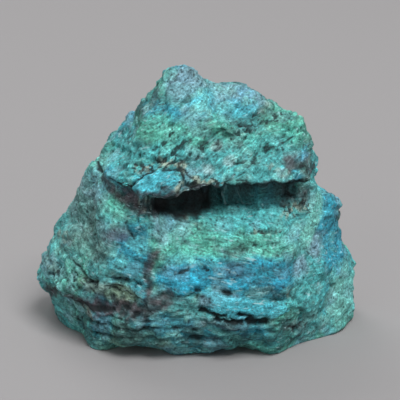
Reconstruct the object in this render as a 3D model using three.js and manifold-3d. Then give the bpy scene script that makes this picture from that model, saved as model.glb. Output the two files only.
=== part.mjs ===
// A rough hand specimen of chrysocolla: one natural stone, broken on every side,
// standing on a flat worn base. A cap with a short peak leans over the front as a
// ledge, and under the ledge a hollow runs back into the stone.
// Millimetres, +Z up, +X to the right, the front faces -Y.
// The origin is under the middle of the stone, at the level of its base.

import * as THREE from 'three';
import { mergeVertices } from 'three/addons/utils/BufferGeometryUtils.js';
import Module from 'manifold-3d';

const wasm = await Module();
wasm.setup();

// Driving dimensions
const ledgeHeight = 42;
const benchTop = 43;
const footDepth = 2;
const facetRounding = 1.1;
const blockWeld = 0.9;
const broadLumpSize = 9.0;
const broadLumpHeight = 0.7;
const smallLumpSize = 4.5;
const smallLumpHeight = 0.45;

// Resolution of the surface and the steps that settle it
const squaresPerSide = 26;
const settleRounds = 80;
const settleSpread = 0.8;

// Each block is a convex lump bounded by flat fracture facets. A facet is
// [turn, rise, x, y, z]: it faces the turn angle (0 front, 90 right, 180 back,
// -90 left), tilted up by the rise angle, and passes through the point x, y, z.
const under = [0, -90, 0, 0, -footDepth];

const cap = [
  [12, 46, -2.5, -21.5, ledgeHeight],
  [-12, 43, -12, -19, ledgeHeight + 1.5],
  [-85, 31, -12.3, -4, 55.2],
  [100, 79, 11, 4, 61.2],
  [95, 66, 21.6, 3, 57.6],
  [92, 38, 27, 0, 53.3],
  [86, 10, 28, -3, 46],
  [172, 24, 0, 16, 48],
  [205, 40, -4, 11, 56],
  [150, 34, 18, 11, 52],
  [-90, -80, -6, -18, ledgeHeight - 3],
  [90, -87, -6, -18, ledgeHeight - 4],
];

const flank = [
  [-35, 42, -18.5, -14, 44.5],
  [-92, 46, -21.8, -4, 44],
  [-50, -62, -19.5, -13, 40.6],
  [90, 0, -13.5, 0, 0],
  [170, 40, -15, 9, 48],
  [0, 90, 0, 0, 49],
  [0, -90, 0, 0, 38],
];

const apron = [
  [-25, 38, -13, -18.5, 35.5],
  [-20, 22, -13, -21.8, 29],
  [-15, 12, -13, -23.5, 23],
  [78, 25, -8.2, -16, 34],
  [-90, 0, -24, 0, 0],
  [180, 0, 0, -4, 0],
  [0, 90, 0, 0, 40],
  [0, -90, 0, 0, 16],
];

const peak = [
  [-5, 46, -5, -1.2, 62],
  [-85, 31, -12.3, -4, 55.2],
  [-20, 82, -4, 2, 65.9],
  [85, 35, 1.2, 3, 64],
  [180, 35, -4, 7, 64],
  [0, -80, 0, 0, 52],
];

const bench = [
  [4, 52, 8, -14, 34.8],
  [3, 28, 8, -22.3, 24.3],
  [2, 8, 8, -26.4, 14],
  [0, -25, 8, -26.2, 6],
  [0, -55, 8, -23.4, 1.5],
  [50, 20, 26.3, -15, 24],
  [48, -12, 26.2, -17, 4],
  [-40, 15, -13, -24.5, 22],
  [-90, 0, -20, 0, 0],
  [86, 8, 32, 0, 22],
  [175, 15, 0, 21, 15],
  [0, 90, 0, 0, benchTop],
  under,
];

const upperLobe = [
  [85, 6, 36, 4, 26],
  [75, 52, 34.5, 4, 31.9],
  [45, 14, 35, -4, 18],
  [12, 10, 28, -9, 20],
  [150, 12, 28, 18, 14],
  [-90, 0, 14, 0, 0],
  [0, 90, 0, 0, 34],
  under,
];

const lowerLobe = [
  [82, 8, 40.3, 3, 10],
  [80, 45, 38.9, 3, 18.5],
  [80, -35, 40.6, 2, 2.5],
  [42, 10, 36.5, -5, 8],
  [14, 6, 30, -12, 8],
  [145, 10, 32, 16, 8],
  [-90, 0, 14, 0, 0],
  [0, 90, 0, 0, 21],
  under,
];

const shoulder = [
  [-53, 24, -15.4, -17.3, 38],
  [-100, 56, -24.5, 5.5, 41.7],
  [-88, 32, -32, 3, 31],
  [-88, 13, -38.2, 0, 18],
  [-85, -24, -39.6, 0, 9],
  [-24, 16, -13, -24.4, 16],
  [-45, -58, -29, -15.5, 10],
  [-5, -62, -15, -24, 11.5],
  [-150, 22, -24, 16, 22],
  [175, 18, -10, 19, 20],
  [-10, 78, -18, 2, 43],
  [62, 28, -9, -20.5, 24],
  [0, -90, 0, 0, 8],
];

const tip = [
  [-85, -24, -39.6, 0, 9],
  [-50, -14, -36.4, -5, 6],
  [-12, -5, -30, -8.5, 6],
  [-88, 13, -38.8, 0, 18],
  [-150, 15, -30, 13, 5],
  [90, 0, -22, 0, 0],
  [0, 90, 0, 0, 12],
  under,
];

const foot = [
  [-67, -6, -29, -12, 3],
  [-16, -12, -20, -21.6, 5],
  [-8, 60, -16, -21.5, 12],
  [180, 10, 0, 14, 5],
  [90, 0, -10, 0, 0],
  [0, 90, 0, 0, 13],
  under,
];

const back = [
  [-90, 10, -30, 8, 30],
  [-98, 34, -14.3, 4, 52],
  [-150, 17, -22, 17.5, 30],
  [176, 20, 0, 20, 26],
  [150, 24, 20, 18, 26],
  [88, 10, 27, 8, 30],
  [176, 42, 0, 15.5, 50],
  [80, 60, 14, 6, 58],
  [0, 90, 0, 0, 60],
  [0, 0, 0, 1, 0],
  under,
];

const core = [
  [0, 0, 0, -8, 0],
  [90, 0, 26, 0, 0],
  [180, 12, 0, 19, 10],
  [-90, 12, -27, 0, 10],
  [20, 50, 0, -8, 38],
  [165, 55, 0, 17, 41],
  [0, 90, 0, 0, benchTop],
  under,
];

// A low knob on the back, and rounded hollows, as [x, y, z, half width, half depth, half height]
const backKnob = [-11.5, 11.5, 47.5, 4.5, 4.5, 3.5];
const deepHollow = [-1.5, -14, 37.4, 7.8, 8.5, 2.9];
const longHollow = [13, -14.5, 38.6, 18, 7.5, 2.6];
const leftArch = [-15, -24, -1.5, 9.5, 8.5, 4.6];
const rightArch = [9.5, -25, -1.5, 8.5, 8.5, 4.6];

// A facet as an outward unit normal and its distance from the origin
function facetPlane([turn, rise, x, y, z]) {
  const a = THREE.MathUtils.degToRad(turn);
  const r = THREE.MathUtils.degToRad(rise);
  const nx = Math.sin(a) * Math.cos(r);
  const ny = -Math.cos(a) * Math.cos(r);
  const nz = Math.sin(r);
  return [nx, ny, nz, nx * x + ny * y + nz * z];
}

const blocks = [cap, flank, apron, peak, bench, upperLobe, lowerLobe, shoulder, tip, foot, back, core]
  .map((facets) => facets.map(facetPlane));

// Smooth smaller-of and larger-of, rounded over the width k
function softMin(a, b, k) {
  const m = Math.min(a, b);
  return m - k * Math.log(Math.exp((m - a) / k) + Math.exp((m - b) / k));
}

function softMax(a, b, k) {
  return -softMin(-a, -b, k);
}

// Distance outside a block: the largest distance outside any facet, with
// rounded edges where facets meet
function blockDistance(block, x, y, z, rounding) {
  let largest = -Infinity;
  for (const [nx, ny, nz, d] of block) {
    largest = Math.max(largest, nx * x + ny * y + nz * z - d);
  }
  let sum = 0;
  for (const [nx, ny, nz, d] of block) {
    sum += Math.exp((nx * x + ny * y + nz * z - d - largest) / rounding);
  }
  return largest + rounding * Math.log(sum);
}

// Distance outside an ellipsoid whose half axes are scaled by size
function ellipsoidDistance([cx, cy, cz, rx, ry, rz], x, y, z, size) {
  const qx = (x - cx) / (rx * size);
  const qy = (y - cy) / (ry * size);
  const qz = (z - cz) / (rz * size);
  const r = Math.hypot(qx, qy, qz);
  const g = Math.hypot(qx / (rx * size), qy / (ry * size), qz / (rz * size)) + 1e-9;
  return r * (r - 1) / g;
}

// A steady value from 0 to 1 for each corner of a lattice
function cornerValue(i, j, k, seed) {
  const s = Math.sin(i * 127.1 + j * 311.7 + k * 74.7 + seed * 19.19) * 43758.5453;
  return s - Math.floor(s);
}

// Smooth noise from -1 to 1, blended between the eight lattice corners round a point
function noise(x, y, z, seed) {
  const i = Math.floor(x);
  const j = Math.floor(y);
  const k = Math.floor(z);
  const ease = (f) => f * f * (3 - 2 * f);
  const u = ease(x - i);
  const v = ease(y - j);
  const w = ease(z - k);
  const row = (dj, dk) => THREE.MathUtils.lerp(
    cornerValue(i, j + dj, k + dk, seed), cornerValue(i + 1, j + dj, k + dk, seed), u);
  const low = THREE.MathUtils.lerp(row(0, 0), row(1, 0), v);
  const high = THREE.MathUtils.lerp(row(0, 1), row(1, 1), v);
  return 2 * THREE.MathUtils.lerp(low, high, w) - 1;
}

function lumps(x, y, z) {
  const broad = noise(x / broadLumpSize, y / broadLumpSize, z / broadLumpSize, 3);
  const small = noise(x / smallLumpSize, y / smallLumpSize, z / smallLumpSize, 7);
  return broadLumpHeight * broad + smallLumpHeight * small;
}

// Distance outside the whole stone. Growth runs from near 0, a soft lump with
// shallow hollows, to 1, the finished stone.
function stoneDistance(x, y, z, growth) {
  const soft = 1 - growth;
  let d = Infinity;
  for (const block of blocks) {
    const b = blockDistance(block, x, y, z, facetRounding + 2 * soft);
    d = d === Infinity ? b : softMin(d, b, blockWeld + 6 * soft);
  }
  d = softMin(d, ellipsoidDistance(backKnob, x, y, z, 1), 1.5);
  const hollow = softMin(
    ellipsoidDistance(deepHollow, x, y, z, growth),
    ellipsoidDistance(longHollow, x, y, z, growth),
    0.6);
  d = softMax(d, -hollow, 0.5);
  d = softMax(d, -ellipsoidDistance(leftArch, x, y, z, 1), 0.8);
  d = softMax(d, -ellipsoidDistance(rightArch, x, y, z, 1), 0.8);
  return d + lumps(x, y, z) * growth;
}

// Gradient of the distance, from four points round the place
function gradient(x, y, z, growth) {
  const h = 0.05;
  const corners = [[1, -1, -1], [-1, -1, 1], [-1, 1, -1], [1, 1, 1]];
  const g = new THREE.Vector3();
  for (const [a, b, c] of corners) {
    const value = stoneDistance(x + h * a, y + h * b, z + h * c, growth);
    g.x += a * value;
    g.y += b * value;
    g.z += c * value;
  }
  return g.multiplyScalar(1 / (4 * h));
}

// A cube's surface, cut in equal squares and swelled to an ellipsoid round the stone
const cube = new THREE.BoxGeometry(2, 2, 2, squaresPerSide, squaresPerSide, squaresPerSide);
cube.deleteAttribute('normal');
cube.deleteAttribute('uv');
const skin = mergeVertices(cube, 1e-4);
const cubeIndex = skin.getIndex().array;
const places = [];
for (let i = 0; i < skin.getAttribute('position').count; i += 1) {
  const p = new THREE.Vector3().fromBufferAttribute(skin.getAttribute('position'), i);
  p.set(
    Math.tan(p.x * Math.PI / 4),
    Math.tan(p.y * Math.PI / 4),
    Math.tan(p.z * Math.PI / 4),
  );
  p.normalize();
  places.push(new THREE.Vector3(44 * p.x, 34 * p.y - 2, 44 * p.z + 26));
}

// The box geometry stores each square as two triangles, a b d and b c d
const squares = [];
const neighbours = places.map(() => new Set());
for (let i = 0; i < cubeIndex.length; i += 6) {
  const square = [cubeIndex[i], cubeIndex[i + 1], cubeIndex[i + 4], cubeIndex[i + 2]];
  squares.push(square);
  for (let side = 0; side < 4; side += 1) {
    const from = square[side];
    const to = square[(side + 1) % 4];
    neighbours[from].add(to);
    neighbours[to].add(from);
  }
}

// The ellipsoid shrinks on to the stone. In each round every point moves down the
// gradient to the surface, then slides along it towards the middle of its neighbours.
for (let round = 0; round < settleRounds; round += 1) {
  const growth = Math.min(1, 0.15 + round / (settleRounds * 0.8));
  const normals = [];
  for (const p of places) {
    const value = stoneDistance(p.x, p.y, p.z, growth);
    const g = gradient(p.x, p.y, p.z, growth);
    const steep = Math.max(g.lengthSq(), 0.3);
    p.addScaledVector(g, -0.85 * THREE.MathUtils.clamp(value, -2.5, 2.5) / steep);
    normals.push(g.normalize());
  }
  const spread = round < settleRounds - 6 ? settleSpread : settleSpread * 0.3;
  const slides = places.map((p, i) => {
    const middle = new THREE.Vector3();
    for (const n of neighbours[i]) {
      middle.add(places[n]);
    }
    middle.divideScalar(neighbours[i].size).sub(p);
    return middle.addScaledVector(normals[i], -middle.dot(normals[i]));
  });
  places.forEach((p, i) => p.addScaledVector(slides[i], spread));
}
for (let round = 0; round < 5; round += 1) {
  for (const p of places) {
    const value = THREE.MathUtils.clamp(stoneDistance(p.x, p.y, p.z, 1), -0.6, 0.6);
    const g = gradient(p.x, p.y, p.z, 1);
    p.addScaledVector(g, -0.8 * value / Math.max(g.lengthSq(), 0.3));
  }
}

// Each square is split along its shorter diagonal
const skinTriangles = [];
for (const [a, b, c, d] of squares) {
  if (places[a].distanceTo(places[c]) < places[b].distanceTo(places[d])) {
    skinTriangles.push(a, b, c, a, c, d);
  } else {
    skinTriangles.push(a, b, d, b, c, d);
  }
}

function solidFrom(positions, triangles) {
  return new wasm.Manifold(new wasm.Mesh({
    numProp: 3,
    vertProperties: new Float32Array(positions),
    triVerts: new Uint32Array(triangles),
  }));
}

// The skin's underside is cut off level, which leaves the flat base
const block = new THREE.BoxGeometry(140, 140, 100);
block.translate(0, 0, 50);
block.deleteAttribute('normal');
block.deleteAttribute('uv');
const roomAboveBase = mergeVertices(block);
const standing = solidFrom(places.flatMap((p) => [p.x, p.y, p.z]), skinTriangles)
  .intersect(solidFrom(roomAboveBase.getAttribute('position').array, roomAboveBase.getIndex().array))
  .getMesh();

const stoneGeometry = new THREE.BufferGeometry();
stoneGeometry.setAttribute('position', new THREE.BufferAttribute(standing.vertProperties, 3));
stoneGeometry.setIndex(new THREE.BufferAttribute(standing.triVerts, 1));

// The origin goes under the middle of the bounding box
stoneGeometry.computeBoundingBox();
const middle = stoneGeometry.boundingBox.getCenter(new THREE.Vector3());
stoneGeometry.translate(-middle.x, -middle.y, 0);
stoneGeometry.computeVertexNormals();

const stone = new THREE.Mesh(
  stoneGeometry,
  new THREE.MeshStandardMaterial({ color: 0x4f9a9c, roughness: 0.8, metalness: 0 }),
);
stone.name = 'chrysocolla_stone';

const specimen = new THREE.Group();
specimen.add(stone);

export default specimen;
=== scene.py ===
import math
import bpy
import numpy as np
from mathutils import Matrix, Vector


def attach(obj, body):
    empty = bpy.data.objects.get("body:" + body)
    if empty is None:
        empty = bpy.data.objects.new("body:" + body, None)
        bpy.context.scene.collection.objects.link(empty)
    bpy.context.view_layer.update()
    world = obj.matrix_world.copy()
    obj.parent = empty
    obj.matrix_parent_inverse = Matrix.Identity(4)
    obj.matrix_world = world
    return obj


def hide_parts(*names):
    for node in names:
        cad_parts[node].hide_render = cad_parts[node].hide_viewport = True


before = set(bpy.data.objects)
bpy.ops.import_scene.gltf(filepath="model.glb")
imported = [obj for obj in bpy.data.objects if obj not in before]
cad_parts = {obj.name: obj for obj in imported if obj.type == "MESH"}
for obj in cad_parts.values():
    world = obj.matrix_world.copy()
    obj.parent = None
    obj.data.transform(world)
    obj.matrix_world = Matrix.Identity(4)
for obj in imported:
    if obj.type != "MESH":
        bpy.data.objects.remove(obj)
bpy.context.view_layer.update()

# A rough hand specimen of chrysocolla on a plain pale floor.
# The stone is worked out in millimetres in its maker's frame and moved to the packed
# model's frame at the end: +Z up, the front faces -Y, the base is level with the floor.

scene = bpy.context.scene
print("frame loaded")

# The stone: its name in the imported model, and how its skin is made
stone = {
    "node": "chrysocolla_stone",
    "slot": "stone",
    "squares": (32, 64, 128),        # squares along each side of the cube, coarse to fine
    "rounds": (80, 16, 8),           # settling rounds at each of them
    "startMiddle": (0, -2, 26),      # the ellipsoid that the skin shrinks from
    "startSize": (44, 34, 44),
    "firstGrowth": 0.15,             # how far the soft lump has grown at the first round
    "step": 0.85,                    # share of its distance that a point moves in one round
    "longestStep": 2.5,
    "slide": 0.8,                    # share of the way to its neighbours' middle that it slides
    "lastSlide": 0.24,               # the same in the last few rounds
    "lastRounds": 6,
    "facetRounding": 1.1,
    "blockWeld": 0.9,
    "lumps": [(9, 0.7, 3), (4.5, 0.45, 7)],   # low lumps all over: size, height, seed
}

# Blocks are convex lumps bounded by fracture facets: (turn, rise, point). A facet faces
# the turn angle (0 front, 90 right, 180 back), tilted up by the rise.
under = (0, -90, (0, 0, -2))
blockFacets = {
    "cap": [
        (12, 46, (-2.5, -21.5, 42)), (-12, 43, (-12, -19, 43.5)), (-85, 31, (-12.3, -4, 55.2)),
        (100, 79, (11, 4, 61.2)), (95, 66, (21.6, 3, 57.6)), (92, 38, (27, 0, 53.3)),
        (86, 10, (28, -3, 46)), (172, 24, (0, 16, 48)), (205, 40, (-4, 11, 56)),
        (150, 34, (18, 11, 52)), (-90, -80, (-6, -18, 39)), (90, -87, (-6, -18, 38))],
    "flank": [
        (-35, 42, (-18.5, -14, 44.5)), (-92, 46, (-21.8, -4, 44)), (-50, -62, (-19.5, -13, 40.6)),
        (90, 0, (-13.5, 0, 0)), (170, 40, (-15, 9, 48)), (0, 90, (0, 0, 49)), (0, -90, (0, 0, 38))],
    "apron": [
        (-25, 38, (-13, -18.5, 35.5)), (-20, 22, (-13, -21.8, 29)), (-15, 12, (-13, -23.5, 23)),
        (78, 25, (-8.2, -16, 34)), (-90, 0, (-24, 0, 0)), (180, 0, (0, -4, 0)),
        (0, 90, (0, 0, 40)), (0, -90, (0, 0, 16))],
    "peak": [
        (-5, 46, (-5, -1.2, 62)), (-85, 31, (-12.3, -4, 55.2)), (-20, 82, (-4, 2, 65.9)),
        (85, 35, (1.2, 3, 64)), (180, 35, (-4, 7, 64)), (0, -80, (0, 0, 52))],
    "bench": [
        (4, 52, (8, -14, 34.8)), (3, 28, (8, -22.3, 24.3)), (2, 8, (8, -26.4, 14)),
        (0, -25, (8, -26.2, 6)), (0, -55, (8, -23.4, 1.5)), (50, 20, (26.3, -15, 24)),
        (48, -12, (26.2, -17, 4)), (-40, 15, (-13, -24.5, 22)), (-90, 0, (-20, 0, 0)),
        (86, 8, (32, 0, 22)), (175, 15, (0, 21, 15)), (0, 90, (0, 0, 43)), under],
    "upperLobe": [
        (85, 6, (36, 4, 26)), (75, 52, (34.5, 4, 31.9)), (45, 14, (35, -4, 18)),
        (12, 10, (28, -9, 20)), (150, 12, (28, 18, 14)), (-90, 0, (14, 0, 0)),
        (0, 90, (0, 0, 34)), under],
    "lowerLobe": [
        (82, 8, (40.3, 3, 10)), (80, 45, (38.9, 3, 18.5)), (80, -35, (40.6, 2, 2.5)),
        (42, 10, (36.5, -5, 8)), (14, 6, (30, -12, 8)), (145, 10, (32, 16, 8)),
        (-90, 0, (14, 0, 0)), (0, 90, (0, 0, 21)), under],
    "shoulder": [
        (-53, 24, (-15.4, -17.3, 38)), (-100, 56, (-24.5, 5.5, 41.7)), (-88, 32, (-32, 3, 31)),
        (-88, 13, (-38.2, 0, 18)), (-85, -24, (-39.6, 0, 9)), (-24, 16, (-13, -24.4, 16)),
        (-45, -58, (-29, -15.5, 10)), (-5, -62, (-15, -24, 11.5)), (-150, 22, (-24, 16, 22)),
        (175, 18, (-10, 19, 20)), (-10, 78, (-18, 2, 43)), (62, 28, (-9, -20.5, 24)),
        (0, -90, (0, 0, 8))],
    "tip": [
        (-85, -24, (-39.6, 0, 9)), (-50, -14, (-36.4, -5, 6)), (-12, -5, (-30, -8.5, 6)),
        (-88, 13, (-38.8, 0, 18)), (-150, 15, (-30, 13, 5)), (90, 0, (-22, 0, 0)),
        (0, 90, (0, 0, 12)), under],
    "foot": [
        (-67, -6, (-29, -12, 3)), (-16, -12, (-20, -21.6, 5)), (-8, 60, (-16, -21.5, 12)),
        (180, 10, (0, 14, 5)), (90, 0, (-10, 0, 0)), (0, 90, (0, 0, 13)), under],
    "back": [
        (-90, 10, (-30, 8, 30)), (-98, 34, (-14.3, 4, 52)), (-150, 17, (-22, 17.5, 30)),
        (176, 20, (0, 20, 26)), (150, 24, (20, 18, 26)), (88, 10, (27, 8, 30)),
        (176, 42, (0, 15.5, 50)), (80, 60, (14, 6, 58)), (0, 90, (0, 0, 60)),
        (0, 0, (0, 1, 0)), under],
    "core": [
        (0, 0, (0, -8, 0)), (90, 0, (26, 0, 0)), (180, 12, (0, 19, 10)), (-90, 12, (-27, 0, 10)),
        (20, 50, (0, -8, 38)), (165, 55, (0, 17, 41)), (0, 90, (0, 0, 43)), under],
}

# Ellipsoids that are cut from the blocks or added to them: middle, half widths
deepHollow = ((-1.5, -14, 37.4), (7.8, 8.5, 2.9))
longHollow = ((13, -14.5, 38.6), (18, 7.5, 2.6))
arches = [((-15, -24, -1.5), (9.5, 8.5, 4.6)), ((9.5, -25, -1.5), (8.5, 8.5, 4.6))]
rearKnob = ((-11.5, 11.5, 47.5), (4.5, 4.5, 3.5))


def facetPlane(turn, rise, point):
    # outward unit normal from the two angles, and its distance from the origin
    a, r = math.radians(turn), math.radians(rise)
    n = (math.sin(a)*math.cos(r), -math.cos(a)*math.cos(r), math.sin(r))
    return (*n, n[0]*point[0] + n[1]*point[1] + n[2]*point[2])


blocks = [np.array([facetPlane(*f) for f in facets]) for facets in blockFacets.values()]


def softMin(a, b, k):
    # the smaller of two distances, rounded over k: -k log(exp(-a/k) + exp(-b/k))
    m = np.minimum(a, b)
    return m - k*np.log(np.exp((m - a)/k) + np.exp((m - b)/k))


def softMax(a, b, k):
    # the larger of two distances, rounded over k
    return -softMin(-a, -b, k)


def blockGap(p, planes, rounding):
    # distance outside the furthest facet, with edges rounded by a log-sum-exp
    d = p @ planes[:, :3].T - planes[:, 3]
    m = d.max(1)
    return m + rounding*np.log(np.exp((d - m[:, None])/rounding).sum(1))


def ballGap(p, middle, halfWidths):
    # distance outside an ellipsoid: r (r - 1) / |q / w|, with w its half widths,
    # q = (p - middle) / w and r = |q|
    q = (p - np.array(middle, float))/np.array(halfWidths, float)
    r = np.sqrt((q*q).sum(1))
    g = np.sqrt(((q/np.array(halfWidths, float))**2).sum(1)) + 1e-9
    return r*(r - 1)/g


def fract(x):
    # what is left above the next lower whole number
    return x - np.floor(x)


def noise(p, seed=0.0):
    # smooth noise from -1 to 1: values at lattice corners, blended by 3f^2 - 2f^3
    i = np.floor(p)
    f = p - i
    u = f*f*(3 - 2*f)
    x, y, z = u[:, 0], u[:, 1], u[:, 2]

    def corner(dx, dy, dz):
        s = (i[:, 0] + dx)*127.1 + (i[:, 1] + dy)*311.7 + (i[:, 2] + dz)*74.7 + seed*19.19
        return fract(np.sin(s)*43758.5453)
    low = [corner(0, j, k)*(1 - x) + corner(1, j, k)*x for k in (0, 1) for j in (0, 1)]
    return 2*((low[0]*(1 - y) + low[1]*y)*(1 - z) + (low[2]*(1 - y) + low[3]*y)*z) - 1


def cloud(p, size, seed, octaves=3):
    # noise of the given size with finer octaves at half the height each
    total = sum(noise(p/(size*0.5**k), seed + 5*k)*0.5**k for k in range(octaves))
    return total/sum(0.5**k for k in range(octaves))


def bodyGap(p, growth=1.0):
    # distance outside the welded blocks, before the hollows are cut
    soft = 1 - growth
    d = None
    for planes in blocks:
        b = blockGap(p, planes, stone["facetRounding"] + 2*soft)
        d = b if d is None else softMin(d, b, stone["blockWeld"] + 6*soft)
    return softMin(d, ballGap(p, *rearKnob), 1.5)


def stoneGap(p, growth=1.0):
    # distance outside the stone; growth 0.15 to 1 runs from a soft lump to the finished stone
    d = bodyGap(p, growth)
    deep = ballGap(p, deepHollow[0], growth*np.array(deepHollow[1]))
    long = ballGap(p, longHollow[0], growth*np.array(longHollow[1]))
    d = softMax(d, -softMin(deep, long, 0.6), 0.5)
    for arch in arches:
        d = softMax(d, -ballGap(p, *arch), 0.8)
    d = d + growth*sum(height*noise(p/size, seed) for size, height, seed in stone["lumps"])
    return np.maximum(d, -p[:, 2])


def slope(gap, p, h=0.05):
    # gradient of a distance from four corners c round each place: the sum of c gap(p + h c) / 4h
    k = ((1, -1, -1), (-1, -1, 1), (-1, 1, -1), (1, 1, 1))
    g = sum(np.array(c, float)*gap(p + h*np.array(c))[:, None] for c in k)
    return g/(4*h)


def cubeLattice(n):
    # lattice points on a cube's surface, n squares along each side, and its squares.
    # Returns the index of each lattice point (-1 inside), the points, and the squares.
    onSkin = np.zeros((n + 1,)*3, bool)
    onSkin[[0, n]] = onSkin[:, [0, n]] = onSkin[:, :, [0, n]] = True
    number = -np.ones((n + 1,)*3, int)
    points = np.argwhere(onSkin)
    number[onSkin] = np.arange(len(points))
    squares = []
    for axis in range(3):
        for side in (0, n):
            g = np.take(number, side, axis)
            q = np.stack([g[:-1, :-1], g[1:, :-1], g[1:, 1:], g[:-1, 1:]], -1).reshape(-1, 4)
            squares.append(q[:, ::-1] if (side == 0) != (axis == 1) else q)
    return number, points, np.concatenate(squares)


def settle(p, squares, rounds, grow):
    # every point moves down the gradient g to the stone, then slides towards the middle of
    # its neighbours: p - step gap g/|g|^2, then + slide times the tangent part of (mean - p)
    longest = stone["longestStep"]
    first = stone["firstGrowth"]
    e = np.concatenate([squares[:, [a, (a + 1) % 4]] for a in range(4)])
    e = np.concatenate([e, e[:, ::-1]])
    count = np.bincount(e[:, 0], minlength=len(p))[:, None]
    for k in range(rounds):
        growth = min(1.0, first + k/(rounds*0.8)) if grow else 1.0
        value = stoneGap(p, growth)
        g = slope(lambda x: stoneGap(x, growth), p)
        gg = (g*g).sum(1)[:, None] + 1e-6
        p = p - stone["step"]*np.clip(value, -longest, longest)[:, None]*g/np.maximum(gg, 0.3)
        g = g/np.sqrt(gg)
        mean = np.stack([np.bincount(e[:, 0], p[e[:, 1], c], len(p)) for c in range(3)], 1)/count
        s = mean - p
        s -= g*(s*g).sum(1)[:, None]
        p = p + stone["slide" if k < rounds - stone["lastRounds"] else "lastSlide"]*s
    return p


def halfwayPoints(coarse, number, points):
    # a lattice twice as fine: each point is the mean of the coarse points round it
    total = 0
    for dx in (0, 1):
        for dy in (0, 1):
            for dz in (0, 1):
                c = (points + (dx, dy, dz))//2
                total = total + coarse[number[c[:, 0], c[:, 1], c[:, 2]]]
    return total/8


def stoneSkin():
    # the cube's lattice swelled to an ellipsoid, shrunk on to the stone, refined twice
    n = stone["squares"][0]
    number, points, squares = cubeLattice(n)
    w = np.tan((points/n*2 - 1)*math.pi/4)
    w /= np.sqrt((w*w).sum(1))[:, None]
    p = np.array(stone["startMiddle"]) + w*stone["startSize"]
    p = settle(p, squares, stone["rounds"][0], True)
    for n, rounds in zip(stone["squares"][1:], stone["rounds"][1:]):
        finer, points, squares = cubeLattice(n)
        p = settle(halfwayPoints(p, number, points), squares, rounds, False)
        number = finer
    return p, squares


# How rough the skin is; sizes, heights and depths in mm
weather = {
    "faceSize": 9.0, "faceHeight": 1.2,        # broad fracture faces
    "chipSize": 4.2, "chipHeight": 0.5,        # chips on them
    "crumbSize": 1.7, "crumbHeight": 0.15,     # crumbs on the chips
    "rearSize": 15.0, "rearHeight": 3.2,       # the largest faces, at the back only
    "streakSize": 2.3, "streakHeight": 0.32,   # long thin layers
    "grooveSize": 1.5, "grooveDepth": 0.4,     # thin grooves between the layers
    "grainSize": 0.8, "grainHeight": 0.06,
    "pitSize": 0.7, "pitDepth": 0.55,
    "veinSize": 13, "veinDepth": 0.6,          # seams on the sides and the back
    "threadWidth": 0.28, "threadDepth": 0.4, "threadDark": 0.75,
    "crustHeight": 0.1,
    "lipWidth": 1.6, "lipDrop": 2.2, "lipSize": 3.6,   # how ragged the lip's edge is
    "keepBase": 1.2,                           # all of it fades out this close to the floor
}

# The left hollow is painted dark, dark stone with painted shade, over a narrower ellipsoid than the one cut
# out: middle, half widths
darkShadedHollow = ((-2.5, -14, 37.4), (6.6, 8.5, 2.9))

# The marks on the front are strokes and outlines drawn in the front view, as (x, z)
# in mm. The first runs along the edge of the overhanging lip.
lipLine = [(-16, 41), (-12, 40), (-5, 40), (1, 41), (12, 40.5), (26, 41), (30, 40)]

# Seams and cracks: (half width, depth, darkness, stroke)
cracks = {
    "lensTop": (0.3, 0.9, 1.0, [(-16, 42), (-12, 45), (-8, 46), (-3.5, 45.5), (-2, 43.5), (0.5, 43)]),
    # the next is partly a seam and partly painted shade, where the cap's lower left overlaps the shoulder
    "capSeamAndShade": (0.5, 0.9, 1.0, [(-24, 42), (-20, 42), (-15, 40.5)]),
    "tongueTop": (0.5, 1.1, 1.0, [(0, 18.5), (5, 18), (8, 17.5), (10, 16.5)]),
    "tongueRight": (0.3, 0.7, 0.7, [(10, 16.5), (16, 15.5), (22, 14.5)]),
    "frontCrackA": (0.35, 0.9, 1.0, [(-3.5, 22.5), (0, 23.5), (2.5, 23)]),
    "frontCrackB": (0.3, 0.7, 1.0, [(-3.5, 17.5), (-1, 17)]),
    "shoulderCrack": (0.4, 0.8, 0.9, [(-32, 21), (-28, 19), (-24, 18)]),
    "spongeTop": (0.45, 0.9, 0.9, [(-26, 18), (-22, 19.5), (-15, 20), (-12, 18.5)]),
    "lowBand": (0.9, 0.9, 1.0, [(-37, 9), (-32, 10.5), (-25, 12), (-18, 13), (-12, 13), (-8, 15)]),
    "capRight": (0.35, 0.7, 0.85, [(22, 45.5), (26.5, 45), (27.5, 42.5), (30, 42)]),
    "rightCrack": (0.35, 0.7, 0.85, [(21.5, 18), (24, 14), (26, 9.5)]),
    "lobeSeam": (0.5, 0.7, 0.5, [(31, 32), (29.5, 26), (31, 20), (31, 15)]),
    "peakLine": (0.25, 0.35, 0.55, [(-5, 59.5), (0, 59)]),
    "rollHigh": (0.4, 0.8, 0.8, [(-27, 7.5), (-20, 8), (-10, 9), (0, 8)]),
    "rollLow": (0.4, 0.7, 0.7, [(-26, 4.5), (-14, 6), (4, 5)]),
    "rollRight": (0.35, 0.7, 0.7, [(3, 8), (12, 7.5), (19, 7)]),
    "footRidge": (0.35, 0.7, 0.7, [(-31, 9), (-29, 5), (-27.5, 1)]),
    "topLine": (0.4, 0.5, 0.5, [(2, 63), (8, 61.5)]),
}

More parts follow.
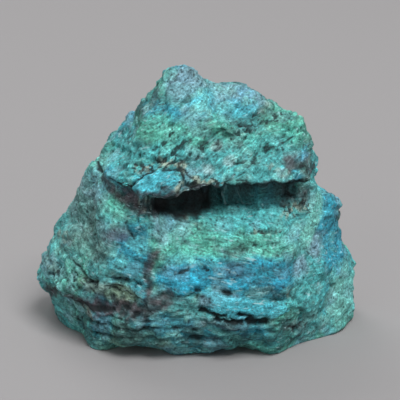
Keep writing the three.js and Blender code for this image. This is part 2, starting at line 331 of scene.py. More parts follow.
# Thin threads of dark stone along the layers, one stroke each
threads = [
    [(10, 53.5), (14, 54.5), (19, 56)], [(5, 51), (10, 52.5), (15, 53.5)], [(19, 49), (23, 51), (26, 52)],
    [(10, 46), (14, 47.5), (18, 49)], [(-12, 49), (-7, 51), (-2, 50.5)], [(-9, 47.5), (-5, 48.5), (0, 47)],
    [(0, 49), (4, 50.5)], [(8, 43), (12, 44.5), (16, 44.5)], [(16, 43), (20, 44.5)],
    [(2, 42), (7, 43), (12, 42.5)],
    [(-15.5, 36), (-13, 32), (-12, 29)], [(-17, 32), (-13, 27)], [(13, 30), (19, 30.5)],
    [(7, 27.5), (14, 27)],
    [(4, 21), (17, 20.5)], [(-22, 10.5), (-8, 11)], [(-9, 12.5), (4, 14.5)], [(4, 24), (15, 23.5)],
    [(-26, 26), (-22, 30)], [(-25, 33), (-23, 31)], [(25, 13), (22, 19), (21, 24)],
]

# Spongy bands: (half width, stroke)
sponges = {
    "capDiagonal": (1.6, [(5, 51), (10, 52), (15, 54.5), (20, 55.5)]),
    "capLow": (1.4, [(9, 46), (14, 47.5), (18, 49)]),
    "capRight": (1.4, [(19, 49), (23, 51), (26.5, 52)]),
    "capMiddle": (2.4, [(-11, 49), (-6, 51), (0, 49)]),
    "capMiddleLow": (1.8, [(-5, 48), (3, 49.5)]),
    "aboveLens": (1.0, [(-14, 46), (-8, 48), (-3, 47)]),
    "lowHoles": (1.0, [(1, 13), (8, 12), (15, 10.5)]),
    "shoulderFoot": (2.6, [(-27, 17), (-15, 18)]),
    "shoulderFootLow": (1.7, [(-24, 15), (-17, 15.5)]),
    "shelfSpecks": (1.2, [(-1, 33), (0.5, 31.5)]),
    "greenSpecks": (1.4, [(7, 27.5), (14, 27)]),
    "shelfDots": (1.0, [(12, 31), (19, 30)]),
    "rightCrumbs": (1.6, [(22, 36.5), (26, 35)]),
    "shoulderLeft": (2.2, [(-35, 15.5), (-31, 17)]),
    "footPits": (1.2, [(-30, 5.5), (-25, 4)]),
    "rightFoot": (1.5, [(22, 8), (25, 6)]),
}

# Holes right through the crust: (half width, depth, stroke)
holes = {
    "big": (0.75, 1.6, [(12.5, 10.5), (17, 10)]),
    "middle": (0.5, 1.2, [(5, 11), (11, 10.5)]),
    "left": (0.45, 1.0, [(1, 13), (7, 12)]),
    "upper": (0.35, 0.8, [(10, 12.5), (13, 12)]),
}

# Brown and rusty seams: (half width, strength, stroke)
rusts = {
    "vein": (1.1, 1.0, [(-10, 26), (-12, 22.5), (-11, 19), (-11.5, 16)]),
    "veinFoot": (1.2, 0.9, [(-11.5, 16), (-8.5, 15.5), (-6, 17.5)]),
    "lowBand": (1.8, 1.0, [(-37, 9.5), (-32, 11), (-25, 12.5), (-18, 13), (-12, 13.5), (-8, 15.5)]),
    "seamFoot": (1.0, 0.95, [(-22, 40.5), (-18.5, 38.5), (-15.5, 36.5)]),
    "underLens": (1.8, 1.0, [(-17, 39), (-13, 37.5), (-8.5, 36.5)]),
    "lensEdge": (0.7, 0.9, [(-16, 41), (-11, 40.5), (-5, 39.5)]),
    "lipMiddle": (2.0, 1.0, [(-6, 40.5), (1, 41.5), (6, 41.5)]),
    "lip": (0.9, 0.95, [(-5, 40.5), (2, 41.5), (12, 41), (26, 41.5), (30, 40)]),
    "capRight": (1.3, 0.85, [(22.5, 45.5), (26, 45), (28.5, 41)]),
    "shoulderPurple": (1.3, 0.45, [(-21, 29), (-17, 31)]),
    "lowHoles": (1.2, 0.6, [(2, 10.5), (9, 10)]),
    "crumbs": (1.3, 0.8, [(22, 37), (27, 36)]),
    "brownHollow": (1.2, 0.7, [(-6, 39.5), (-3, 39)]),
    "greenSpecks": (0.9, 0.5, [(8, 27), (12, 27)]),
    "rightFoot": (1.3, 0.5, [(23, 7), (25.5, 4.5)]),
}

# Beige and pale crumbs: (half width, strength, stroke)
crusts = {
    "aboveLens": (0.7, 0.95, [(-14, 46), (-8, 47.5), (-5, 47), (-2.5, 45.5)]),
    "lensRight": (0.6, 0.9, [(-2.5, 45), (1, 43.5)]),
    "lip": (1.0, 1.0, [(-4, 42), (1, 43), (5, 42.5)]),
    "lipEnd": (0.4, 0.8, [(5, 42), (10, 41.5)]),
    "whiteVeins": (0.7, 0.8, [(-13, 38), (-11, 37)]),
    "shelf": (0.9, 0.6, [(-1.5, 33), (0, 32)]),
    "paleEdge": (0.8, 0.45, [(17, 45.5), (21, 44)]),
    "shoulder": (1.2, 0.45, [(-34, 24), (-32, 24.5)]),
    "footSpot": (1.1, 0.7, [(-27, 10), (-26, 8.5)]),
    "rightEdge": (0.8, 0.6, [(23, 16), (22, 17.5)]),
    "crumbs": (1.1, 0.85, [(22, 34), (27, 34)]),
    "dots": (0.5, 0.7, [(14, 30.5), (19, 30)]),
}

# Scales of stone that stand out or lie back: height, how smooth, paint, strength, outline
plates = {
    "lens": (0.45, 0.7, "cyan", 0.9,
             [(-16, 42), (-12, 45), (-8, 46), (-3.5, 45.5), (-2, 43.5), (-5, 40.5), (-13, 41)]),
    "tongue": (0.5, 0.6, "cyan", 0.7,
               [(0, 18.5), (9, 17), (16, 15), (21.5, 14), (23, 12), (18, 11), (5, 14.5)]),
    "pocket": (-0.5, 0.7, "deepTeal", 0.55, [(9.5, 18), (18, 18.5), (23.5, 16), (21, 14.5), (12, 16.5)]),
    "scaleLeft": (0.35, 0.4, "cyan", 0.4, [(-21.5, 24.5), (-16, 25), (-12, 22.5), (-12.5, 19.5), (-21, 22)]),
}


def insidePlate(p, outline):
    # how far inside a closed outline in the front view: the least distance to its edges,
    # negative outside. A place is inside if a level line from it crosses an odd number of them.
    x, z = p[:, 0], p[:, 2]
    best = np.full(len(p), 1e9)
    within = np.zeros(len(p), bool)
    for (ax, az), (bx, bz) in zip(outline, outline[1:] + outline[:1]):
        dx, dz = bx - ax, bz - az
        t = np.clip(((x - ax)*dx + (z - az)*dz)/(dx*dx + dz*dz), 0, 1)
        best = np.minimum(best, np.hypot(x - ax - t*dx, z - az - t*dz))
        crosses = ((az > z) != (bz > z)) & (x < ax + (z - az)*dx/(dz if dz else 1e-9))
        within ^= crosses
    return np.where(within & (p[:, 1] < -8), best, -best)


def strokeGap(p, stroke):
    # distance in the front view to a run of straight pieces:
    # the least |p - a - clamp((p - a).(b - a)/|b - a|^2) (b - a)|, plus the way behind the front
    seen = p[:, [0, 2]]
    best = np.full(len(p), 1e9)
    for a, b in zip(stroke[:-1], stroke[1:]):
        a, b = np.array(a, float), np.array(b, float)
        t = np.clip(((seen - a) @ (b - a))/((b - a) @ (b - a)), 0, 1)
        best = np.minimum(best, np.sqrt(((seen - a - t[:, None]*(b - a))**2).sum(1)))
    return best + np.clip(p[:, 1] - 3, 0, None)


def smooth(low, high, x):
    # 0 to 1 between low and high by 3t^2 - 2t^3
    t = np.clip((x - low)/(high - low), 0, 1)
    return t*t*(3 - 2*t)


def cells(p, seed):
    # nearest scattered point to each place: its offset, how far the next cell's point is
    # beyond it, and three steady random numbers of that cell
    i = np.floor(p)
    best = np.full(len(p), 1e9)
    second = np.full(len(p), 1e9)
    offset = np.zeros_like(p)
    chance = np.zeros_like(p)
    for step in np.ndindex(3, 3, 3):
        c = i + np.array(step) - 1
        s = c @ np.array((127.1, 311.7, 74.7)) + seed*19.19
        r = fract(np.sin(s[:, None] + (0, 1.7, 4.1))*(43758.5, 22578.1, 19642.3))
        v = p - c - r
        d = (v*v).sum(1)
        nearer = d < best
        second = np.where(nearer, best, np.minimum(second, d))
        best = np.where(nearer, d, best)
        offset[nearer] = v[nearer]
        chance[nearer] = fract(r[nearer]*7.31)
    return offset, np.sqrt(second) - np.sqrt(best), chance


def chips(p, size, seed):
    # each cell is a small fracture face with its own height and tilt: (r0 - 0.5) + offset.r,
    # dropping into a groove along its border
    offset, border, chance = cells(p/size, seed)
    h = (chance[:, 0] - 0.5) + ((chance - 0.5)*offset).sum(1)*1.8
    groove = smooth(0.12, 0.0, border)
    return h*(1 - 0.4*groove) - 0.25*groove, groove, chance


def alongLayers(p):
    # places squeezed so that noise runs along the layers, which rise to the right on the cap,
    # z - 0.48 x - 0.25 y, and fall a little to the right below it, z + 0.14 x - 0.25 y
    onCap = p[:, 2] > 40.5 + 0.8*noise(p/6, 45)
    s = np.where(onCap, p[:, 2] - 0.48*p[:, 0] - 0.25*p[:, 1], p[:, 2] + 0.14*p[:, 0] - 0.25*p[:, 1])
    q = np.stack([p[:, 0]*0.22, p[:, 1]*0.35, s + 1.3*noise(p/9, 46)], 1)
    return q + 0.18*np.stack([noise(p/2.6, 47 + k) for k in range(3)], 1)


def brokenFaces(p, q, bend, masks):
    # heights of the broken faces, chips and crumbs added up, with streaks, grooves and grain
    w = weather
    flatter = (p + 1.8*bend)*(1, 1, 1.4)
    face = chips(flatter, w["faceSize"], 11)[0]
    chip, chipGroove, masks["chip"] = chips(flatter, w["chipSize"], 17)
    crumb, crumbGroove, masks["crumb"] = chips(flatter + 0.5*bend, w["crumbSize"], 23)
    rear = smooth(6, 14, p[:, 1])*np.clip(chips(flatter, w["rearSize"], 29)[0], -0.8, 0.05)
    streak = cloud(q, w["streakSize"], 41, 3)
    here = smooth(-0.15, 0.3, cloud(p, 8, 43, 2))
    groove = smooth(0.16, 0.03, np.abs(noise(q/w["grooveSize"], 44)))*here
    out = w["faceHeight"]*face + w["chipHeight"]*chip + w["crumbHeight"]*crumb
    out = out + w["rearHeight"]*rear + w["streakHeight"]*streak
    out = out - w["grooveDepth"]*groove + w["grainHeight"]*noise(p/w["grainSize"], 53)
    masks["groove"] = np.maximum(0.6*chipGroove, 0.35*crumbGroove)
    masks["dark"] = 0.5*groove
    return out


def raisedPlates(p, out, masks):
    # inside each outline the roughness is calmed and moved: out (1 - calm inside) + height inside
    wobble = p + 0.35*np.stack([noise(p/1.3, 57), np.zeros(len(p)), noise(p/1.3, 58)], 1)
    masks["plates"] = {}
    for name, (height, calm, paint, strength, outline) in plates.items():
        inside = smooth(-0.25, 0.35, insidePlate(wobble, outline))
        out = out*(1 - calm*inside) + height*inside
        masks["plates"][name] = inside
    return out


def rearSeams(p, out, bend, ragged, masks):
    # away from the front, seams and brown bands lie along the layers, where a broad noise
    # crosses zero: out - depth vein
    layered = (p + 2*bend)*(0.5, 0.5, 1.2) + 0.35*p[:, :1]*(0, 0, 1)
    wander = np.abs(cloud(layered, weather["veinSize"], 101, 2) + 0.05*ragged)
    there = smooth(-0.05, 0.3, cloud(p, 15, 103, 2))*smooth(-6, 4, p[:, 1])
    vein = smooth(0.03, 0.005, wander)*there*smooth(-0.4, 0.1, noise(p/2.4, 104))
    masks["dark"] = np.maximum(masks["dark"], 0.8*vein)
    masks["rust"] = 0.85*smooth(0.09, 0.02, wander + 0.03*ragged)*there
    return out - weather["veinDepth"]*vein


def cracked(p, out, bend, ragged, masks):
    # cracks and threads are out - depth exp(-(d/1.4)^2), with d the distance in half widths
    # from the stroke; holes have steep sides
    w = weather
    dark = masks["dark"]
    broken = 0.45 + 0.55*smooth(-0.35, 0.05, noise(p/2.4, 65))
    for halfWidth, depth, darkness, stroke in cracks.values():
        d = (strokeGap(p + 0.9*bend, stroke) + 0.4*ragged)/halfWidth
        fill = np.exp(-(np.clip(d, 0, None)/1.4)**2)*broken
        out = out - depth*fill
        dark = np.maximum(dark, darkness*fill)
    broken = smooth(-0.5, 0.1, noise(p/2.2, 64))
    for stroke in threads:
        d = (strokeGap(p + 0.5*bend, stroke) + 0.35*ragged)/w["threadWidth"]
        fill = np.exp(-(np.clip(d, 0, None)/1.4)**2)*broken
        out = out - w["threadDepth"]*fill
        dark = np.maximum(dark, w["threadDark"]*fill)
    for halfWidth, depth, stroke in holes.values():
        fill = smooth(1.5, 0.7, strokeGap(p, stroke)/halfWidth + 0.8*ragged)
        out = out - depth*fill
        dark = np.maximum(dark, fill)
    masks["dark"] = dark
    return out


def pitted(p, q, out, ragged, masks):
    # pits where a fine noise is high and scratches where one crosses zero, both inside the
    # spongy bands and in scattered spots: out - depth pit
    spongy = np.zeros(len(p))
    for halfWidth, stroke in sponges.values():
        spongy = np.maximum(spongy, smooth(1.7, 0.5, strokeGap(p, stroke)/halfWidth + 0.8*ragged))
    elsewhere = smooth(-6, 4, p[:, 1])
    spots = smooth(0.3 - 0.15*elsewhere, 0.6, cloud(p, 9, 71, 2))
    spongy = np.maximum(spongy, (0.6 + 0.4*elsewhere)*spots)
    fine = noise(q*(1.8, 1.3, 1)/weather["pitSize"], 73)
    pit = smooth(0.0, 0.5, fine + 0.4*spongy - 0.42)*spongy
    scratch = smooth(0.2, 0.03, np.abs(noise(q*(1.6, 1, 1)/0.75, 54)))*smooth(-0.2, 0.4, noise(p/1.9, 55))
    masks["pit"] = np.maximum(pit, 0.7*scratch*spongy)
    masks["spongy"] = spongy
    return out - weather["pitDepth"]*masks["pit"]


def crusted(p, q, out, bend, ragged, masks):
    # brown seams colour the stone only; beige crumbs stand on it: out + height crust
    for halfWidth, strength, stroke in rusts.values():
        d = strokeGap(p + 0.9*bend, stroke)/halfWidth + 1.1*ragged
        masks["rust"] = np.maximum(masks["rust"], strength*smooth(1.7, 0.4, d))
    crust = np.zeros(len(p))
    gaps = smooth(0.05, 0.3, noise(p*(1, 1, 1.5)/0.7, 78))
    for halfWidth, strength, stroke in crusts.values():
        d = strokeGap(p + 0.7*bend, stroke)/halfWidth + 1.2*ragged
        crust = np.maximum(crust, strength*smooth(1.6, 0.6, d))
        masks["dark"] = np.maximum(masks["dark"], 0.9*strength*smooth(2.6, 1.2, d)*gaps)
    masks["crust"] = crust*smooth(-0.3, 0.3, noise(q*(3, 2, 1)/0.7, 76))
    return out + weather["crustHeight"]*masks["crust"]


def hollowMasks(p, ragged, masks):
    # painted shade and dark stone in the hollows: the left hollow is painted dark all through, the long one
    # only under its roof, with a painted shade lower down
    deep = smooth(1.9, 0.9, ballGap(p, *darkShadedHollow) + 0.5*ragged)
    long = smooth(1.8, 0.4, ballGap(p, *longHollow) + 0.9*ragged)
    hollow = np.maximum(deep, 0.9*long*smooth(36.2, 39.2, p[:, 2] + 0.7*ragged))
    masks["hollow"] = hollow
    masks["shade"] = long*(1 - hollow)
    masks["frost"] = (1 - hollow)*(0.35 + 0.65*smooth(-0.1, 0.4, cloud(p, 7, 77, 2)))


def weathered(p, n):
    # the settled skin pushed along its normals, with the lip's edge moved up or down:
    # p + out n + drop z. Returns the points and the masks for colour.
    w = weather
    bend = np.stack([cloud(p, 7, 31 + k, 2) for k in range(3)], 1)
    q = alongLayers(p)
    ragged = 0.6*noise(p/1.5, 61) + 0.4*noise(p/0.7, 67)
    masks = {"layers": q}
    out = brokenFaces(p, q, bend, masks)
    out = raisedPlates(p, out, masks)
    out = rearSeams(p, out, bend, ragged, masks)
    out = cracked(p, out, bend, ragged, masks)
    out = pitted(p, q, out, ragged, masks)
    out = crusted(p, q, out, bend, ragged, masks)
    hollowMasks(p, ragged, masks)
    out = out*(1 - 0.6*masks["hollow"])*smooth(0, w["keepBase"], p[:, 2])
    lip = np.exp(-(strokeGap(p, lipLine)/w["lipWidth"])**2)
    drop = w["lipDrop"]*lip*cloud(p*(1, 1, 0.3), w["lipSize"], 63, 3)
    return p + n*out[:, None] + drop[:, None]*(0, 0, 1), masks


# Paints as sRGB, 0 to 255
paints = {
    "teal": (82, 156, 156), "turquoise": (82, 178, 180), "cyan": (76, 180, 196),
    "blue": (44, 148, 174), "deepBlue": (32, 108, 134), "green": (94, 182, 162),
    "paleGreen": (120, 196, 186), "deepTeal": (30, 80, 84), "lavender": (132, 166, 184),
    "greyGreen": (110, 156, 152), "purple": (110, 106, 132), "olive": (128, 148, 122),
    "beige": (146, 162, 148), "brown": (46, 38, 42), "redBrown": (88, 68, 76),
    # the white paint is the colour of the painted highlights
    "black": (6, 10, 12), "highlightWhite": (206, 222, 222),
}

# Broad bands of colour all round: paint, strength, size and seed of their noise, the values
# where the paint starts and is full, and the finer texture added to the noise with its share
bands = [
    ("turquoise", 1.0, 14, 81, -0.15, 0.4, "streaky", 0.6),
    ("blue", 0.8, 12, 93, 0.05, 0.4, "streaky", 0.5),
    ("green", 0.8, 11, 95, 0.05, 0.4, "mottle", -0.5),
    ("greyGreen", 0.6, 9, 97, 0.1, 0.45, "fleck", 0.4),
    ("paleGreen", 0.5, 10, 105, 0.15, 0.45, "streaky", 0.3),
    ("lavender", 0.5, 8, 107, 0.2, 0.5, "streaky", 0.3),
    ("olive", 0.5, 9, 109, 0.2, 0.5, "mottle", -0.3),
]

# Patches of colour on the front: paint, strength, and ovals drawn in the front view,
# (x, z, half width, half height)
patches = [
    # painted shade: the left side of the cap darkened where it turns away from the light
    ("deepTeal", 0.85, [(-11, 60, 2, 3), (-14, 55, 2, 3.5), (-18, 49, 3, 3)]),
    ("lavender", 0.5, [(-3, 62, 5, 3), (9, 59, 8, 3)]),
    ("blue", 0.7, [(-7, 56, 5.5, 2.2)]),
    ("cyan", 0.7, [(1, 58.5, 4, 3), (9, 56.5, 6, 2)]),
    ("green", 0.8, [(-8, 53, 8, 3), (2, 52.5, 7, 3.5), (22, 53, 6, 4.5), (17, 50, 6, 2.5)]),
    ("turquoise", 0.65, [(-17, 46, 5, 5), (7, 46, 7, 4), (17, 47, 6, 5)]),
    # painted highlights: small pale spots on the cap
    ("highlightWhite", 0.35, [(20.5, 43.5, 2, 1.2), (8, 46.5, 1.6, 1.2), (3, 45, 1.5, 1), (5, 49.5, 1.6, 1)]),
    ("cyan", 0.95, [(-9, 43, 6.5, 3)]),
    ("turquoise", 0.95, [(15, 32, 14, 4.5)]),
    ("green", 0.85, [(1, 27.5, 6, 4), (15, 27, 8, 3.5)]),
    ("blue", 1.0, [(-2, 21, 8, 4), (14, 21, 10, 4)]),
    ("deepBlue", 0.8, [(18, 17, 5, 2.5), (9, 22, 2.5, 1.5)]),
    ("lavender", 0.7, [(4, 16, 4.5, 2)]),
    # cyan stone, brightened here as a painted highlight where the shelf faces up to the light
    ("cyan", 0.9, [(13, 14, 9, 2.5)]),
    # painted shade along the bottom of the front, which faces down
    ("deepTeal", 0.65, [(-14, 6.5, 7, 4.5), (4, 6, 10, 4), (21, 5.5, 5, 4)]),
    ("deepBlue", 0.6, [(-5, 10, 6, 2), (11, 8, 5, 1.8)]),
    ("blue", 0.85, [(33, 28, 4, 6), (35, 20, 4, 5)]),
    ("lavender", 0.75, [(25.5, 21, 2, 3), (29, 24.5, 2.5, 2.5)]),
    ("paleGreen", 0.75, [(37, 9, 5, 7)]),
    ("paleGreen", 0.9, [(29.5, 32, 2, 3), (27, 28, 2, 3)]),
    ("turquoise", 0.8, [(28, 15, 5, 5)]),
    ("greyGreen", 0.8, [(-28, 32, 6, 6), (-26, 26, 6, 4)]),
    ("lavender", 0.45, [(-26, 37.5, 4, 3)]),
    ("green", 0.85, [(-19, 35.5, 4, 2.6)]),
    ("blue", 0.85, [(-15, 29, 3.5, 4.5), (-13, 25, 3, 3)]),
    ("purple", 0.6, [(-19, 30, 3, 1.4)]),
    ("cyan", 0.85, [(-16.5, 22.5, 3.5, 2.4), (-13, 19, 2, 2)]),
    ("olive", 0.75, [(-21, 16.5, 7, 2.4)]),
    # painted shade on the foot, which faces down and to the left
    ("deepTeal", 0.5, [(-25, 4.5, 6, 4.5)]),
    ("teal", 0.7, [(-37, 7, 5, 5)]),
]


def linear(paint):
    # sRGB to the light values that Blender mixes
    c = np.array(paints[paint], float)/255
    return np.where(c <= 0.04045, c/12.92, ((c + 0.055)/1.055)**2.4)


def mixIn(colour, paint, amount):
    # colour + (paint - colour) amount
    return colour + (linear(paint) - colour)*np.clip(amount, 0, 1)[:, None]


def ovalGap(p, ovals):
    # the least |((x - x0)/half width, (z - z0)/half height)|, at most 9
    gap = np.full(len(p), 9.0)
    for x, z, halfWidth, halfHeight in ovals:
        gap = np.minimum(gap, np.hypot((p[:, 0] - x)/halfWidth, (p[:, 2] - z)/halfHeight))
    return gap


def stoneColour(p, masks):
    # broad bands all round, then the patches, some of them painted shade and some painted highlights,
    # then plates, single chips and streaks, then the brown seams, crumbs, grooves, and the painted shade and
    # dark stone of the hollows, each mixed over what is there
    mottle = cloud(p*(1, 1, 1.4), 4.5, 87)
    streaky = cloud(masks["layers"], 2.6, 88, 3)
    fleck = noise(p/1.1, 91)
    textures = {"streaky": streaky, "mottle": mottle, "fleck": fleck}
    colour = np.tile(linear("teal"), (len(p), 1))
    for paint, strength, size, seed, start, full, texture, share in bands:
        broad = cloud(p, size, seed) + share*textures[texture]
        colour = mixIn(colour, paint, strength*smooth(start, full, broad))
    edge = 0.4*cloud(p, 3.0, 99, 3) + 0.35*streaky + 0.15*fleck
    behind = np.clip(p[:, 1] - 4, 0, None)/3
    for paint, strength, ovals in patches:
        gap = ovalGap(p, ovals)
        colour = mixIn(colour, paint, strength*smooth(1.3, 0.6, gap + edge + behind))
    for name, (height, calm, paint, strength, outline) in plates.items():
        colour = mixIn(colour, paint, strength*masks["plates"][name])
    chance = masks["chip"]
    colour = mixIn(colour, "lavender", 0.25*smooth(0.84, 0.9, chance[:, 1]))
    colour = mixIn(colour, "paleGreen", 0.3*smooth(0.84, 0.9, chance[:, 2]))
    colour = mixIn(colour, "deepTeal", 0.25*smooth(0.82, 0.9, chance[:, 0]))
    colour = mixIn(colour, "paleGreen", 0.45*smooth(0.25, 0.6, streaky + 0.3*fleck))
    colour = mixIn(colour, "deepTeal", 0.45*smooth(-0.2, -0.6, streaky + 0.3*fleck))
    colour = colour*(0.85 + 0.3*masks["crumb"][:, :1])
    brown = mixIn(np.tile(linear("brown"), (len(p), 1)), "redBrown", smooth(-0.2, 0.5, mottle + fleck))
    colour = colour + (brown - colour)*np.clip(masks["rust"]*0.85, 0, 1)[:, None]
    colour = mixIn(colour, "beige", masks["crust"])
    colour = mixIn(colour, "deepTeal", 0.45*masks["groove"])
    # painted shade lower down in the long hollow
    colour = mixIn(colour, "deepTeal", 0.75*masks["shade"])
    # the hollows painted near black: dark stone and painted shade
    colour = mixIn(colour, "black", 0.95*masks["hollow"])
    return np.clip(colour, 0, 1)


# The stone's finish. Noises: scale per mm, detail, roughness, distortion.
finish = {
    "fibre": (1.1, 4.0, 0.7, 0.0), "strand": (2.6, 2.0, 0.6, 0.4),
    "grain": (1.7, 3.0, 0.7, 0.0), "fleck": (1.9, 2.0, 0.6, 0.0), "speckScale": 0.95,
    "noiseRange": (0.3, 0.7),            # where a noise starts and ends to count
    "fibreShade": (0.5, 1.5), "strandShade": (0.7, 1.3), "grainShade": (0.42, 1.65),
    "speckEdge": (0.2, 0.45), "speckChance": (0.66, 0.72), "speckSpongy": 0.4, "speckDark": 0.6,
    "fleckEdge": (0.6, 0.72), "fleckPale": 0.75, "pale": (0.42, 0.68, 0.72, 1),
    "seamRagged": 1.3, "seamEdge": (0.42, 0.85), "seamDark": 0.93, "seamAndShade": (0.006, 0.012, 0.014, 1),
    "bump": 0.6, "bumpDistance": 0.3, "roughness": (0.6, 0.9), "gloss": 0.35,
}


def node(tree, kind, inputs=None, **values):
    # a new shader node with its settings, and its inputs set or joined by name or number
    made = tree.nodes.new(kind)
    for name, value in values.items():
        setattr(made, name, value)
    for name, value in (inputs or {}).items():
        socket = made.inputs[name]
        if isinstance(value, bpy.types.NodeSocket):
            tree.links.new(value, socket)
        else:
            socket.default_value = value
    return made


def remap(tree, value, low, high, least, most):
    # value from low..high to least..most, held at the ends
    return node(tree, "ShaderNodeMapRange", {"Value": value, "From Min": low, "From Max": high,
                                             "To Min": least, "To Max": most}).outputs["Result"]


def plus(tree, a, b):
    return node(tree, "ShaderNodeMath", {0: a, 1: b}, operation="ADD").outputs[0]


def minus(tree, a, b):
    return node(tree, "ShaderNodeMath", {0: a, 1: b}, operation="SUBTRACT").outputs[0]


def times(tree, a, b):
    return node(tree, "ShaderNodeMath", {0: a, 1: b}, operation="MULTIPLY").outputs[0]


def scaled(tree, vector, factor):
    values = {0: vector, "Scale": factor}
    return node(tree, "ShaderNodeVectorMath", values, operation="SCALE").outputs[0]


def blend(tree, amount, colour, over):
    # colour where the amount is 0, over where it is 1
    return node(tree, "ShaderNodeMix", {0: amount, 6: colour, 7: over}, data_type="RGBA").outputs[2]


def noiseAt(tree, place, name):
    scale, detail, roughness, distortion = finish[name]
    return node(tree, "ShaderNodeTexNoise", {"Vector": place, "Scale": scale, "Detail": detail,
                                             "Roughness": roughness, "Distortion": distortion}).outputs["Fac"]


def shade(tree, value, name):
    return remap(tree, value, *finish["noiseRange"], *finish[name])


def stoneMaterial():
    # the colours and masks worked out per point, broken up by fibres that run along the
    # layers, fine grain, pale flecks and dark specks
    material = bpy.data.materials.new("roughChrysocolla")
    material.use_nodes = True
    tree = material.node_tree
    shader = tree.nodes["Principled BSDF"]
    place = scaled(tree, node(tree, "ShaderNodeTexCoord").outputs["Object"], 1000.0)
    layered = node(tree, "ShaderNodeAttribute", attribute_name="layerPlace").outputs["Vector"]
    tint = node(tree, "ShaderNodeAttribute", attribute_name="stoneTint").outputs["Color"]
    # dark marks with some painted shade, spongy bands and pale grains, from the points
    marksAndShade = node(tree, "ShaderNodeAttribute", attribute_name="stoneMarksAndShade").outputs["Color"]
    dark, spongy, frost = list(node(tree, "ShaderNodeSeparateColor", {"Color": marksAndShade}).outputs)[:3]
    fibre = noiseAt(tree, layered, "fibre")
    grain = noiseAt(tree, place, "grain")
    fleck = noiseAt(tree, layered, "fleck")
    strand = noiseAt(tree, layered, "strand")

    light = times(tree, shade(tree, fibre, "fibreShade"), shade(tree, grain, "grainShade"))
    light = times(tree, light, shade(tree, strand, "strandShade"))
    # specks: the middle of scattered cells, more of them where the stone is spongy
    specks = node(tree, "ShaderNodeTexVoronoi", {"Vector": place, "Scale": finish["speckScale"]}).outputs
    near = remap(tree, specks["Distance"], *finish["speckEdge"], 1.0, 0.0)
    chance = plus(tree, specks["Color"], times(tree, spongy, finish["speckSpongy"]))
    speck = times(tree, near, remap(tree, chance, *finish["speckChance"], 0.0, 1.0))
    light = times(tree, light, minus(tree, 1.0, times(tree, speck, finish["speckDark"])))
    graded = scaled(tree, tint, light)
    paleAmount = times(tree, remap(tree, fleck, *finish["fleckEdge"], 0.0, finish["fleckPale"]), frost)
    pale = blend(tree, paleAmount, graded, finish["pale"])
    # seams and pits, and the painted shade along the cap's seam, get a ragged, crisp edge
    edge = plus(tree, dark, times(tree, minus(tree, grain, 0.5), finish["seamRagged"]))
    seamAndShade = remap(tree, edge, *finish["seamEdge"], 0.0, finish["seamDark"])
    tree.links.new(blend(tree, seamAndShade, pale, finish["seamAndShade"]), shader.inputs["Base Color"])
    tree.links.new(shade(tree, fibre, "roughness"), shader.inputs["Roughness"])
    shader.inputs["Specular IOR Level"].default_value = finish["gloss"]
    height = minus(tree, plus(tree, fibre, grain), seamAndShade)
    bump = node(tree, "ShaderNodeBump", {"Strength": finish["bump"], "Distance": finish["bumpDistance"]/1000,
                                         "Height": height})
    tree.links.new(bump.outputs[0], shader.inputs["Normal"])
    return material


def meshObject(name, points, squares, material):
    # a mesh from its points and, for each four-sided face, the numbers of its corners
    mesh = bpy.data.meshes.new(name)
    mesh.vertices.add(len(points))
    mesh.vertices.foreach_set("co", points.astype(np.float32).ravel())
    mesh.loops.add(squares.size)
    mesh.loops.foreach_set("vertex_index", squares.astype(np.int32).ravel())
    mesh.polygons.add(len(squares))
    mesh.polygons.foreach_set("loop_start", np.arange(0, squares.size, 4, dtype=np.int32))
    mesh.update(calc_edges=True)
    mesh.validate()
    mesh.materials.append(material)
    made = bpy.data.objects.new(name, mesh)
    scene.collection.objects.link(made)
    return made


def pointColours(mesh, name, values):
    # one colour for each point, with a fourth column of ones
    layer = mesh.color_attributes.new(name, "FLOAT_COLOR", "POINT")
    full = np.concatenate([values, np.ones((len(values), 1))], 1)
    layer.data.foreach_set("color", full.astype(np.float32).ravel())


points, squares = stoneSkin()
middle = (points.min(0) + points.max(0))[:2]/2
print("skin settled", len(squares), "squares")
normal = slope(stoneGap, points)
normal /= np.sqrt((normal*normal).sum(1))[:, None] + 1e-9
points, masks = weathered(points, normal)
colour = stoneColour(points, masks)
print("weathered")
points = points - (*middle, 0)
points[:, 2] = np.maximum(points[:, 2], 0)
rock = meshObject("chrysocollaStone", points/1000, squares, stoneMaterial())
rock.data.polygons.foreach_set("use_smooth", np.ones(len(squares), bool))
# dark marks of seams, cracks and pits, with some painted shade along the cap's seam; spongy bands; pale
# grains
marksAndShade = np.stack([np.maximum(masks["dark"], 0.85*masks["pit"]), masks["spongy"], masks["frost"]], 1)
pointColours(rock.data, "stoneTint", colour)
pointColours(rock.data, "stoneMarksAndShade", marksAndShade)
layer = rock.data.attributes.new("layerPlace", "FLOAT_VECTOR", "POINT")
layer.data.foreach_set("vector", masks["layers"].astype(np.float32).ravel())
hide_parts(stone["node"])
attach(rock, "root")
print("stone placed")

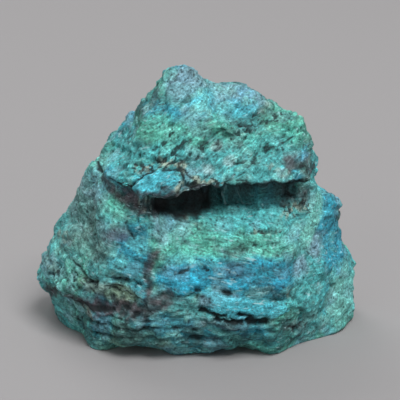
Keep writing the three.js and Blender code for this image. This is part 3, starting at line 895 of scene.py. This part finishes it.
# Floor, sky and camera: focal length and sensor in mm, rise in degrees, other lengths in m
studio = {
    "floorSize": 12.0, "floorColour": (0.33, 0.32, 0.325, 1), "floorRoughness": 0.9,
    "focal": 130.0, "sensor": 36.0, "distance": 0.3611, "rise": 18.0,
    "target": (0.00036, -0.00115, 0.03241),
    "lightTarget": (0, 0, 0.03), "sky": 0.3,
}

# Soft lights: place and size in m, power in W
lights = {
    "keyLight": ((0.7, -1.1, 2.3), 1.3, 60.0),
    "fillLight": ((-1.5, -2.0, 1.2), 1.5, 6.0),
    "backLight": ((-0.9, 1.9, 1.7), 1.6, 22.0),
}


def floorSheet():
    # a level square at z = 0, with its corners at plus and minus half its size
    half = studio["floorSize"]/2
    corners = np.array([(-half, -half, 0), (half, -half, 0), (half, half, 0), (-half, half, 0)])
    material = bpy.data.materials.new("paleFloor")
    material.use_nodes = True
    shader = material.node_tree.nodes["Principled BSDF"]
    shader.inputs["Base Color"].default_value = studio["floorColour"]
    shader.inputs["Roughness"].default_value = studio["floorRoughness"]
    return meshObject("floor", corners, np.array([(0, 1, 2, 3)]), material)


def softLight(name, place, size, power):
    # a square lamp turned to face the stone
    light = bpy.data.lights.new(name, "AREA")
    light.size = size
    light.energy = power
    lamp = bpy.data.objects.new(name, light)
    lamp.location = place
    towards = Vector(studio["lightTarget"]) - Vector(place)
    lamp.rotation_euler = towards.to_track_quat("-Z", "Y").to_euler()
    scene.collection.objects.link(lamp)


floorSheet()
for name, (place, size, power) in lights.items():
    softLight(name, place, size, power)
world = bpy.data.worlds.new("studioAir")
world.use_nodes = True
world.node_tree.nodes["Background"].inputs["Color"].default_value = (1, 1, 1, 1)
world.node_tree.nodes["Background"].inputs["Strength"].default_value = studio["sky"]
scene.world = world
scene.view_settings.view_transform = "Standard"

cameraData = bpy.data.cameras.new("camera")
cameraData.lens = studio["focal"]
cameraData.sensor_width = studio["sensor"]
camera = bpy.data.objects.new("camera", cameraData)
rise = math.radians(studio["rise"])
back = Vector((0, -math.cos(rise), math.sin(rise)))
camera.location = Vector(studio["target"]) + back*studio["distance"]
camera.rotation_euler = (-back).to_track_quat("-Z", "Y").to_euler()
scene.collection.objects.link(camera)
scene.camera = camera
print("studio lit")
